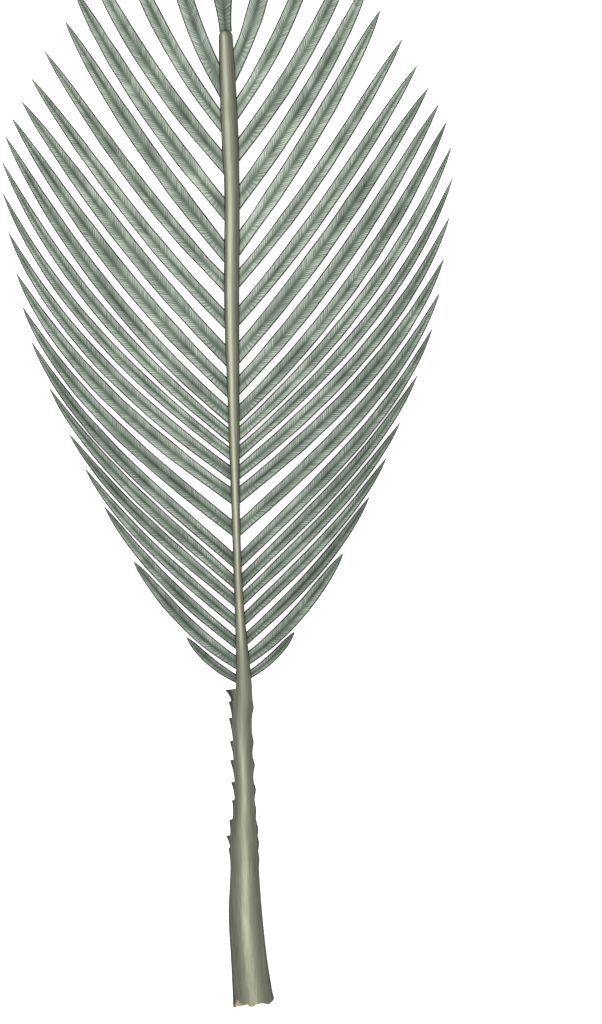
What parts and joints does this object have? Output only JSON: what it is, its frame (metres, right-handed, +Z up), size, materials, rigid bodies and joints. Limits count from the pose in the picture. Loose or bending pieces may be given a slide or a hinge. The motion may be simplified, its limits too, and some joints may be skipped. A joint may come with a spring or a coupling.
{
  "type": "yatay palm leaf",
  "caption": "Cut feather leaf of a yatay palm, lying face up: a toothed petiole, a gently arched rachis, and long leaflets that curve forward and droop to both sides.",
  "frame": {"origin": "on the ground under the middle of the leaf's length and width", "axes": "+Y from the cut end of the petiole to the leaf's tip, +Z up out of the leaf's upper side"},
  "size_m": [0.9056, 2.326, 0.0916],
  "materials": {
    "petiole": "dull waxy green-grey rind with fine lengthwise fibres, brown at the torn end",
    "rachis": "satin pale green rind, paler along its middle",
    "leaflet": "waxy grey-green blade with fine slanting veins and a paler margin"
  },
  "bodies": {
    "root": {"petiole": "petiole", "rachis": "rachis", "leaflet_left_01": "leaflet", "leaflet_left_02": "leaflet", "leaflet_left_03": "leaflet", "leaflet_left_04": "leaflet", "leaflet_left_05": "leaflet", "leaflet_left_06": "leaflet", "leaflet_left_07": "leaflet", "leaflet_left_08": "leaflet", "leaflet_left_09": "leaflet", "leaflet_left_10": "leaflet", "leaflet_left_11": "leaflet", "leaflet_left_12": "leaflet", "leaflet_left_13": "leaflet", "leaflet_left_14": "leaflet", "leaflet_left_15": "leaflet", "leaflet_left_16": "leaflet", "leaflet_left_17": "leaflet", "leaflet_left_18": "leaflet", "leaflet_left_19": "leaflet", "leaflet_left_20": "leaflet", "leaflet_left_21": "leaflet", "leaflet_left_22": "leaflet", "leaflet_right_01": "leaflet", "leaflet_right_02": "leaflet", "leaflet_right_03": "leaflet", "leaflet_right_04": "leaflet", "leaflet_right_05": "leaflet", "leaflet_right_06": "leaflet", "leaflet_right_07": "leaflet", "leaflet_right_08": "leaflet", "leaflet_right_09": "leaflet", "leaflet_right_10": "leaflet", "leaflet_right_11": "leaflet", "leaflet_right_12": "leaflet", "leaflet_right_13": "leaflet", "leaflet_right_14": "leaflet", "leaflet_right_15": "leaflet", "leaflet_right_16": "leaflet", "leaflet_right_17": "leaflet", "leaflet_right_18": "leaflet", "leaflet_right_19": "leaflet", "leaflet_right_20": "leaflet", "leaflet_right_21": "leaflet", "leaflet_right_22": "leaflet", "leaflet_terminal": "leaflet"}
  },
  "joints": []
}
